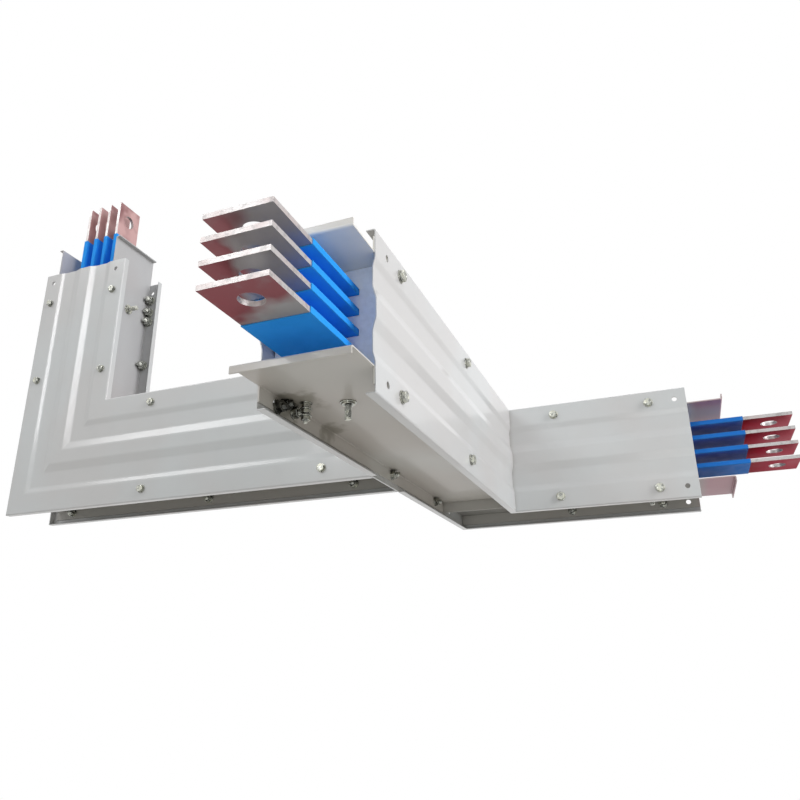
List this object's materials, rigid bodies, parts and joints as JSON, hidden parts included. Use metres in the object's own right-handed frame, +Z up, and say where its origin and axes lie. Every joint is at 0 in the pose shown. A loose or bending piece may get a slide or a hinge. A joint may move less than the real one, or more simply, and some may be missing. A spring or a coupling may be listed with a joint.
{
  "type": "busbar trunking three-way fitting",
  "caption": "Busbar trunking fitting: a trunk with a flat elbow into one leg and a side branch with an upright elbow into a riser, bare drilled bars at every mouth.",
  "frame": {"origin": "centre of the bounding box on the floor plane that the cover lips stand on", "axes": "+X along the right leg towards its mouth, +Y along the trunk away from its open mouth, +Z up the riser"},
  "size_m": [1.391, 1.0092, 0.681],
  "materials": {
    "painted_cover": "gloss",
    "painted_channel": "satin",
    "end_plate": "matte",
    "tinned_bar": "bright tin over copper",
    "blue_sleeve": "satin"
  },
  "bodies": {
    "root": {"trunk_inner_cover": "painted_cover", "trunk_outer_cover": "painted_cover", "right_leg_inner_cover": "painted_cover", "right_leg_outer_cover": "painted_cover", "elbow_front_cover": "painted_cover", "elbow_back_cover": "painted_cover", "trunk_bottom_channel": "painted_channel", "trunk_top_channel": "painted_channel", "right_leg_bottom_channel": "painted_channel", "right_leg_top_channel": "painted_channel", "branch_bottom_channel": "painted_channel", "branch_top_channel": "painted_channel", "riser_inner_channel": "painted_channel", "riser_outer_channel": "painted_channel", "end_plate_front": "end_plate", "end_plate_right": "end_plate", "end_plate_top": "end_plate", "main_bar_1": "tinned_bar", "branch_bar_1": "tinned_bar", "main_bar_2": "tinned_bar", "branch_bar_2": "tinned_bar", "main_bar_3": "tinned_bar", "branch_bar_3": "tinned_bar", "main_bar_4": "tinned_bar", "branch_bar_4": "tinned_bar", "main_sleeve_1": "blue_sleeve", "branch_sleeve_1": "blue_sleeve", "main_sleeve_2": "blue_sleeve", "branch_sleeve_2": "blue_sleeve", "main_sleeve_3": "blue_sleeve", "branch_sleeve_3": "blue_sleeve", "main_sleeve_4": "blue_sleeve", "branch_sleeve_4": "blue_sleeve"}
  },
  "joints": []
}
